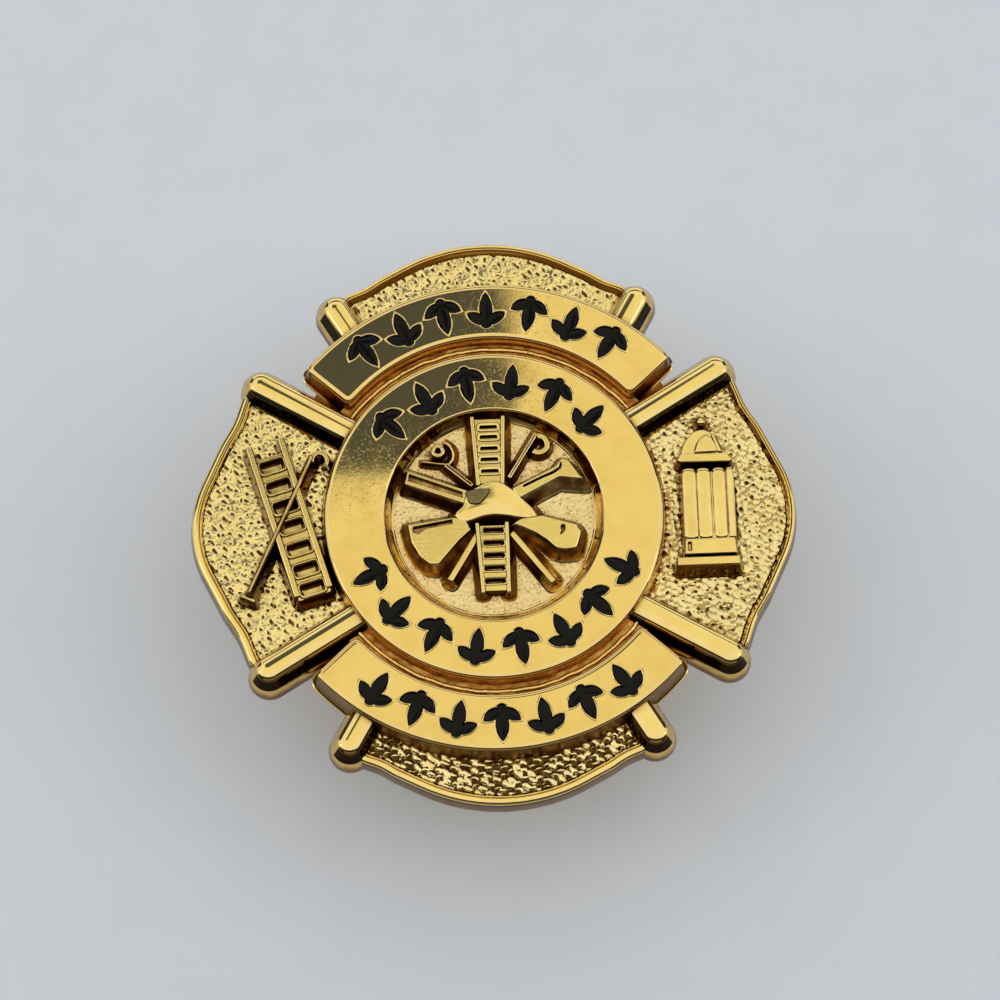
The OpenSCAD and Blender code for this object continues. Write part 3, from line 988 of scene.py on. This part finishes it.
def makeLadder():
    bm = bmesh.new()
    size = ladderSize
    wide, rail = size["wide"], size["rail"]
    for side in (-1, 1):
        u = side * (wide - rail) / 2
        ends = onLadder((u - rail / 2, size["foot"]), (u + rail / 2, size["head"]))
        struck(bm, ends, relief(floorZ, figureZ, 0.17), 0.08, 0.12)
    bodyTop = figureZ - 0.1
    halfWide, halfTall = size["opening"]
    pits = [onLadder((-halfWide, v - halfTall), (halfWide, v + halfTall)) for v in size["openings"]]
    levels = [
        (0.14, 0), (0.115, 0.035), (0.085, 0.055), (0.05, 0.055), (0.015, 0.03), (-0.01, -0.04),
        (-0.04, -0.15), (-0.08, -0.22), (-0.12, -0.24),
    ]
    low, high = size["body"]
    outer = onLadder((-(wide / 2 - 0.1), low), (wide / 2 - 0.1, high))
    body = [
        (0.2, floorZ - 0.1), (0.2, floorZ + 0.01), (0.1, floorZ + 0.3), (0.0, bodyTop - 0.05),
        (-0.03, bodyTop),
    ]
    sunk(bm, struck(bm, outer, body, 0.1, 0.1), pits, levels, 0.12, 0.4)
    return bm


piece("ladder", makeLadder(), struckGold)


def makeLoop(centre, outer, inner, low, top, spread, start, end):
    # A struck round ring, or a part of one
    bm = bmesh.new()
    half = (outer - inner) / 2
    middle = (outer + inner) / 2
    wall = [(half + g, z) for g, z in relief(low, top, spread) if g > -half]
    profile = [(middle + out, z) for out, z in wall] + [(middle - out, z) for out, z in reversed(wall)]
    face = bm.faces.new([bm.verts.new((max(0.02, r), 0, z)) for r, z in profile])
    bmesh.ops.transform(bm, matrix=Matrix.Rotation(math.radians(start), 4, "Z"), verts=bm.verts)
    geom = [face]
    if end - start >= 360:
        geom = list(face.edges) + list(face.verts)
        bm.faces.remove(face)
    spinRound(bm, geom, end - start, 40)
    bmesh.ops.translate(bm, verts=bm.verts, vec=(centre[0], centre[1], 0))
    return bm


poleSize = {
    "foot": (-10.3, -3.0), "head": (-7.5, 2.95), "wide": 0.26,
    "butt": ((-10.62, -3.0), (-10.05, -3.28), 0.15), "hook": (-7.2, 2.7), "hookR": (0.42, 0.22),
}
bm = bmesh.new()
ridge = relief(floorZ, figureZ - 0.04, 0.22)[:-2]
ridge += [(-0.03, figureZ - 0.01), (-0.07, figureZ + 0.04), (-0.105, figureZ + 0.07)]
struck(bm, strip(poleSize["foot"], poleSize["head"], poleSize["wide"]), ridge, 0.05, 0.12)
struck(bm, strip(*poleSize["butt"]), relief(floorZ, figureZ - 0.16, 0.2), 0.05)
piece("pikePole", bm, struckGold)
hook = makeLoop(poleSize["hook"], *poleSize["hookR"], floorZ, figureZ - 0.02, 0.16, -35, 190)
piece("pikeHook", hook, struckGold)
print("ladder made")


hydrantSize = {
    "foot": ((7.55, -2.46), (10.15, -2.08)),
    "band": ((7.92, -1.98), (10.0, -1.3)),
    "barrel": ((7.92, -1.32), (10.02, 1.62)),
    "flutes": ((8.2, 0.25), (8.8, 0.25), (9.44, 0.23), (9.9, 0.1)),  # middle and half width
    "brim": [(7.72, 2.14), (7.84, 2.03), (9.96, 2.0), (10.04, 2.12), (9.84, 2.4), (7.88, 2.4)],
    "dome": [
        (7.9, 2.34), (9.82, 2.34), (9.65, 2.68), (9.43, 3.02), (9.16, 3.33), (8.86, 3.46), (8.44, 3.35),
        (8.12, 2.98), (7.95, 2.68),
    ],
    "front": [
        (8.5, 2.44), (9.42, 2.46), (9.37, 2.78), (9.22, 3.05), (9.0, 3.22), (8.8, 3.08), (8.6, 2.8),
    ],
    "rib": [(9.5, 2.42), (9.64, 2.44), (9.36, 3.14), (9.24, 3.2)],
    "notch": ((8.02, -1.83), (8.17, -1.45)),
    "ball": (8.82, 3.8), "ballR": 0.29, "neckR": 0.24,
}


def makeHydrant():
    size = hydrantSize
    top = figureZ
    bm = bmesh.new()
    struck(bm, between(*size["foot"]), relief(floorZ, top, 0.17), 0.06, 0.22)
    low, high = size["band"]
    bottom = [(low[0] - 0.04, low[1]), (high[0] + 0.05, low[1]), (high[0], high[1]), (low[0], high[1])]
    band = struck(bm, bottom, relief(floorZ, top - 0.02, 0.15), 0.06, 0.1)
    notch = [(0.02, 0), (0.0, -0.02), (-0.01, -0.1), (-0.03, -0.18)]
    sunk(bm, band, [between(*size["notch"])], notch, 0.05)
    struck(bm, between(*size["barrel"]), relief(floorZ, top - 0.1, 0.15), 0.06, 0.1)
    low, high = size["barrel"]
    flute = [
        (0.07, top - 0.2), (0.06, top - 0.1), (0.02, top - 0.06), (-0.03, top - 0.035),
        (-0.09, top - 0.02),
    ]
    for u, half in size["flutes"]:
        struck(bm, between((u - half, low[1] + 0.05), (u + half, high[1] + 0.1)), flute, 0.2)
    struck(bm, size["dome"], relief(floorZ, top - 0.06, 0.16), 0.16, 0.1)
    struck(bm, size["brim"], relief(floorZ, top - 0.02, 0.16), 0.08, 0.1)
    facet = [
        (0.06, top - 0.2), (0.05, top - 0.06), (0.02, top - 0.01), (-0.03, top + 0.015),
        (-0.1, top + 0.025),
    ]
    struck(bm, size["front"], facet, 0.07)
    struck(bm, size["rib"], facet[:-1], 0.05)
    return bm


piece("hydrant", makeHydrant(), lowGold)

bm = bmesh.new()
ball, ballR = hydrantSize["ball"], hydrantSize["ballR"]
bmesh.ops.create_uvsphere(bm, u_segments=32, v_segments=18, radius=ballR)
bmesh.ops.scale(bm, verts=bm.verts, vec=(1, 1, 1.6))
bmesh.ops.translate(bm, verts=bm.verts, vec=(*ball, figureZ - ballR * 1.6))
neck = [spot(hydrantSize["neckR"], degrees, ball) for degrees in range(0, 360, 30)]
struck(bm, neck, relief(floorZ, figureZ - 0.3, 0.16), 0.05)
piece("hydrantNut", bm, lowGold)
print("hydrant made")


toolZ = faceZ - 0.06  # top of the tools in the middle
groundSize = {"reach": 4.52, "half": 4.6, "grid": 0.05}


def onGround(co):
    return math.hypot(co.x, co.y) < groundSize["reach"]


def sand(x, y, seed):
    # Fine even grain over a slow swell
    grain = noise.noise((x / 0.15, y / 0.15, seed)) * 0.025
    return grain + noise.noise((x / 0.7, y / 0.7, seed + 4)) * 0.015, 0


half = groundSize["half"]
ground = makeFloor((-half, -half), (half, half), onGround, sand, 5, medalZ, groundSize["grid"])
piece("sandblastedGround", ground, blastedGold)


medalLadderSize = {
    "upper": {
        "rails": ((-0.6, -0.77), (0.4, 0.53)), "ends": (1.3, 4.34),
        "rungs": (1.93, 2.44, 2.92, 3.42, 3.85), "slot": (-0.46, 0.26, 0.07), "frame": 0.14,
    },
    "lower": {
        "rails": ((-0.56, -0.72), (0.5, 0.52)), "ends": (-3.36, -0.3),
        "rungs": (-2.85, -2.3, -1.75, -1.21, -0.67), "slot": (-0.46, 0.36, 0.08), "frame": 0.1,
    },
}


def makeMedalLadder(kind):
    bm = bmesh.new()
    size = medalLadderSize[kind]
    top = faceZ - 0.12
    low, high = size["ends"]
    for foot, head in size["rails"]:
        struck(bm, strip((foot, low), (head, high), 0.17), relief(medalZ, top, 0.28), 0.05)
    left, right, half = size["slot"]
    pits = [between((left, v - half), (right, v + half)) for v in size["rungs"]]
    frame = size["frame"]
    levels = [
        (frame, 0), (frame * 0.8, 0.035), (frame * 0.5, 0.045), (0.015, 0.02), (0.0, -0.03),
        (-0.02, -0.19), (-0.04, -0.25),
    ]
    body = [
        (0.1, medalZ - 0.1), (0.1, medalZ + 0.01), (0.05, medalZ + 0.1), (0.0, top - 0.11),
        (-0.03, top - 0.07),
    ]
    (footA, headA), (footB, headB) = size["rails"]
    low, high = low + 0.08, high - 0.12
    outer = [(footA, low), (footB, low), (headB, high), (headA, high)]
    sunk(bm, struck(bm, outer, body, 0.05), pits, levels, 0.07)
    return bm


piece("upperMiddleLadder", makeMedalLadder("upper"), lowGold)
piece("lowerMiddleLadder", makeMedalLadder("lower"), struckGold)

toolSize = {  # outline, top under the tools' level, spread of the walls and any sunk channel
    "leftHorn": {
        "outline": [(-1.05, 1.08), (-3.55, 2.04), (-3.68, 1.46), (-1.15, 0.5)],
        "channel": [(-3.5, 1.88), (-3.53, 1.58), (-1.3, 0.76), (-1.26, 1.0)], "slide": 0.1,
    },
    "rightHorn": {
        "outline": [
            (0.8, 1.14), (1.04, 0.66), (2.8, 1.56), (3.5, 1.46), (3.8, 1.42), (3.56, 1.7), (3.18, 2.28),
            (2.94, 2.4), (2.66, 2.05),
        ],
        "channel": [
            (1.25, 1.21), (2.05, 1.58), (2.53, 1.78), (2.75, 1.92), (2.85, 2.15), (2.92, 2.13),
            (2.83, 1.87), (2.58, 1.7), (2.08, 1.5), (1.28, 1.13),
        ],
        "slide": 0.2,
    },
    "axe": {
        "outline": [
            (-3.6, -0.28), (-3.48, -1.06), (-3.14, -1.7), (-2.74, -2.05), (-2.38, -2.06), (-2.05, -1.68),
            (-1.5, -1.06), (-0.98, -0.6), (-1.2, -0.1), (-1.7, -0.04),
        ],
        "channel": [
            (-3.42, -0.43), (-3.36, -0.68), (-3.18, -0.74), (-2.84, -0.52), (-1.72, -0.34),
            (-1.74, -0.16),
        ],
        "slide": 0.12,
    },
    "nozzle": {
        "outline": [
            (0.8, -0.42), (1.2, -0.58), (1.74, -0.86), (2.14, -1.15), (2.55, -1.54), (2.9, -1.61),
            (3.36, -1.56), (3.5, -1.19), (3.6, -0.82), (3.42, -0.52), (2.83, -0.34), (2.0, -0.08),
            (1.1, -0.2),
        ],
        "channel": [
            (2.74, -0.62), (2.85, -0.53), (2.96, -0.6), (2.9, -0.8), (2.78, -0.97), (2.7, -0.94),
            (2.78, -0.78),
        ],
        "slide": 0.14,
    },
    "leftHandle": {"outline": strip((-0.66, -0.7), (-1.94, -2.74), 0.27), "under": 0.15},
    "rightHandle": {"outline": strip((0.7, -0.75), (2.38, -2.95), 0.26), "under": 0.15},
    "keyStem": {
        "outline": strip((-1.96, 2.32), (-0.84, 1.34), 0.2), "under": 0.17, "spread": 0.2,
        "dish": 0.05,
    },
    "keyCollar": {"outline": strip((-2.92, 2.47), (-1.9, 2.31), 0.1), "under": 0.2, "spread": 0.16},
    "hookPole": {
        "outline": strip((0.68, 1.62), (1.9, 3.55), 0.2), "under": 0.16, "spread": 0.2, "dish": 0.04,
    },
}
channelLevels = [(0.03, 0), (0.0, -0.02), (-0.01, -0.08), (-0.03, -0.2), (-0.035, -0.24)]
for name, size in toolSize.items():
    bm = bmesh.new()
    top = toolZ - size.get("under", 0)
    levels = relief(medalZ, top, size.get("spread", 0.34), size.get("dish", 0))
    lid = struck(bm, size["outline"], levels, 0.08, size.get("slide", 0))
    if "channel" in size:
        sunk(bm, lid, [size["channel"]], channelLevels, 0.05)
    piece(name, bm, lowGold if size.get("under", 0) > 0.1 else struckGold)


loopSize = {  # middle, outer and inner radius, top under the tools' level, spread, start and end
    "keyHead": ((-2.236, 2.884), 0.29, 0.12, 0.08, 0.1, 0, 360),
    "keyCurl": ((-2.16, 2.76), 0.62, 0.5, 0.22, 0.2, -50, 70),
    "hookCurl": ((1.98, 3.04), 0.48, 0.24, 0.14, 0.16, -130, 95),
}
for name, (centre, outer, inner, under, spread, start, end) in loopSize.items():
    bm = makeLoop(centre, outer, inner, medalZ, toolZ - under, spread, start, end)
    piece(name, bm, lowGold)

helmetSize = {
    "brim": [
        (-1.17, 0.93), (-1.27, 0.4), (-1.67, 0.07), (-1.5, -0.22), (-1.2, -0.3), (-0.87, -0.2),
        (-0.47, -0.06), (0, 0.0), (0.55, -0.06), (1.0, -0.16), (1.73, -0.26), (1.84, -0.1), (1.67, 0.2),
        (1.2, 0.67), (1.03, 0.9), (0.67, 1.17), (0.4, 1.37), (0, 1.47), (-0.33, 1.37), (-0.67, 1.2),
    ],
    "crown": (0.1, 0.6),
    "rise": 0.045,
    "lean": (-0.02, 0.045),  # how much the whole top rises to the right and towards the upper arm
    "shield": [(-1.12, 0.98), (-0.97, 0.53), (-0.6, 0.5), (-0.33, 0.78), (-0.18, 1.06), (-0.62, 1.08)],
    "shieldMiddle": (-0.65, 0.78),
    "shieldLean": (0.06, -0.055),
}


def makeHelmet():
    # A brim that leans down all round, and a crown that swells gently towards its middle
    bm = bmesh.new()
    levels = [
        (0.3, medalZ - 0.1), (0.3, medalZ + 0.01), (0.22, medalZ + 0.1), (0.06, toolZ - 0.16),
        (0.02, toolZ - 0.07), (-0.015, toolZ - 0.02), (-0.06, toolZ + 0.01),
    ]
    brim = anticlockwise(helmetSize["brim"])
    loops = [atHeight(rounded(grown(brim, g), 0.3, g, 6), z) for g, z in levels]
    centre = Vector(helmetSize["crown"])
    edge = [Vector(p[:2]) for p in loops[-1]]
    for i in range(1, 11):
        t = 1 - i / 10.5
        rise = toolZ + 0.01 + helmetSize["rise"] * (0.5 - 0.5 * math.cos(math.pi * (1 - t)))
        loops.append(atHeight([centre.lerp(p, t) for p in edge], rise))
    loft(bm, loops)
    lean = helmetSize["lean"]
    for v in bm.verts:
        if v.co.z > toolZ - 0.1:
            v.co.z += (v.co.x - centre.x) * lean[0] + (v.co.y - centre.y) * lean[1]
    return bm


piece("helmet", makeHelmet(), struckGold, sharp=60)
bm = bmesh.new()
shieldTop = toolZ + 0.11
shieldLevels = [(0.1, toolZ - 0.1), (0.07, shieldTop - 0.06), (0.03, shieldTop)]
struck(bm, helmetSize["shield"], shieldLevels, 0.1)
lean, middle = helmetSize["shieldLean"], helmetSize["shieldMiddle"]
for v in bm.verts:
    if v.co.z > toolZ - 0.05:
        v.co.z += (v.co.x - middle[0]) * lean[0] + (v.co.y - middle[1]) * lean[1]
piece("helmetShield", bm, struckGold)
print("medallion made")


postSection = [  # radius, and height under the back of the plate
    (0, 0.02), (1.42, 0.02), (1.49, -0.03), (1.5, -0.1), (1.47, -0.2), (1.36, -0.27), (1.0, -0.31),
    (0.72, -0.36), (0.6, -0.46), (0.575, -0.6), (0.575, -5.15), (0.545, -5.28), (0.35, -5.8),
    (0.16, -6.14), (0.06, -6.2), (0, -6.2),
]
piece("post", spun(postSection), pinGold)
clutchSection = [
    (0, -7.2), (3.5, -7.2), (3.72, -7.17), (3.92, -7.08), (4.04, -6.92), (4.1, -6.7), (4.1, -2.75),
    (4.13, -2.5), (4.25, -2.36), (4.45, -2.31), (5.1, -2.3), (5.28, -2.26), (5.38, -2.12), (5.4, -1.95),
    (5.38, -1.78), (5.28, -1.65), (5.1, -1.61), (4.4, -1.6), (3.6, -1.72), (2.2, -1.72), (1.6, -1.6),
    (0.85, -1.6), (0.68, -1.66), (0.635, -1.8), (0.635, -6.5), (0, -6.5),
]
piece("clutch_turned", spun(clutchSection, 128), clutchBrass, "clutch")
print("post and clutch made")


# Pale matt board: no gloss, a faint fibre
floorMaterial, tree, shader, place = startMaterial("paleMattBoard")
fibre = node(tree, "TexNoise", Vector=place, Scale=400.0, Detail=4.0)  # 2.5 mm
kind = {"data_type": "RGBA"}
tone = node(tree, "Mix", kind, in0=fibre, in6=hexColour("F0F5FA"), in7=hexColour("F5F9FD"))
tree.links.new(tone.outputs[2], shader.inputs["Base Color"])
shader.inputs["Roughness"].default_value = 0.75
bm = bmesh.new()
bmesh.ops.create_grid(bm, x_segments=1, y_segments=1, size=2.0)
floor = newObject("floor", bm)
floor.data.materials.append(floorMaterial)

softboxes = {  # middle, size, what a mirror would show of it, and colour
    "ceilingFront": ((0, -0.13, 0.55), (1.7, 0.38), 0.93, "FFFFFF"),
    "ceilingShade": ((-0.06, 0.2335, 0.55), (0.14, 0.133), 0.15, "AEBBDA"),
    "ceilingFarLeft": ((-0.315, 0.3335, 0.55), (0.37, 0.333), 0.93, "FFFFFF"),
    "ceilingWarm": ((0.0, 0.1135, 0.55), (0.3, 0.107), 0.93, "FFFCDD"),
    "ceilingWarmRight": ((0.08, 0.2335, 0.55), (0.14, 0.133), 0.93, "FFFCDD"),
    "ceilingRight": ((0.325, 0.28, 0.55), (0.35, 0.44), 0.93, "FFFFFF"),
    "ceilingBack": ((0.01, 0.4, 0.55), (0.28, 0.2), 0.93, "FFFFFF"),
    "ceilingLeft": ((-0.325, 0.1135, 0.55), (0.35, 0.107), 0.93, "FFFFFF"),
    "backWall": ((0, 0.75, 0.255), (1.2, 0.5), 1.05, "F2F6FF"),
    "leftWall": ((-0.75, 0.1, 0.255), (0.9, 0.5), 0.9, "F2F6FF"),
    "rightWall": ((0.75, 0.1, 0.255), (0.9, 0.5), 0.9, "F2F6FF"),
    "frontWall": ((0, -0.75, 0.255), (1.2, 0.5), 0.14, "FFF0DC"),
}
for name, (middle, size, glow, colour) in softboxes.items():
    data = bpy.data.lights.new(name, "AREA")
    data.shape = "RECTANGLE"
    data.size, data.size_y = size
    data.energy = glow * math.pi * data.size * data.size_y
    data.color = hexColour(colour)[:3]
    light = bpy.data.objects.new(name, data)
    scene.collection.objects.link(light)
    light.location = middle
    if name.endswith("Wall"):
        light.rotation_euler = (-Vector(middle)).to_track_quat("-Z", "Z").to_euler()
    light.visible_camera = False

world = bpy.data.worlds.new("studio")
scene.world = world
world.use_nodes = True
tree = world.node_tree
background = tree.nodes["Background"]
background.inputs["Color"].default_value = hexColour("AEBBDA")
background.inputs["Strength"].default_value = 0.06

cameraSetup = {"tilt": 16.5, "turn": 2.2, "distance": 215, "lens": 186, "shift": (0.006, 0.014)}
ringCentre = Vector((0, 0, (backZ + faceZ) * mm))
tilt = math.radians(cameraSetup["tilt"])
turn = math.radians(cameraSetup["turn"])
away = Vector((-math.sin(tilt) * math.sin(turn), -math.sin(tilt) * math.cos(turn), math.cos(tilt)))
cameraData = bpy.data.cameras.new("camera")
cameraData.lens = cameraSetup["lens"]
cameraData.sensor_width = 36
cameraData.sensor_fit = "HORIZONTAL"
cameraData.clip_start = 0.01
cameraData.shift_x, cameraData.shift_y = cameraSetup["shift"]
camera = bpy.data.objects.new("camera", cameraData)
scene.collection.objects.link(camera)
camera.location = ringCentre + away * cameraSetup["distance"] * mm
camera.rotation_euler = (-away).to_track_quat("-Z", "Y").to_euler()
scene.camera = camera
scene.view_settings.view_transform = "Standard"
print("stage made")
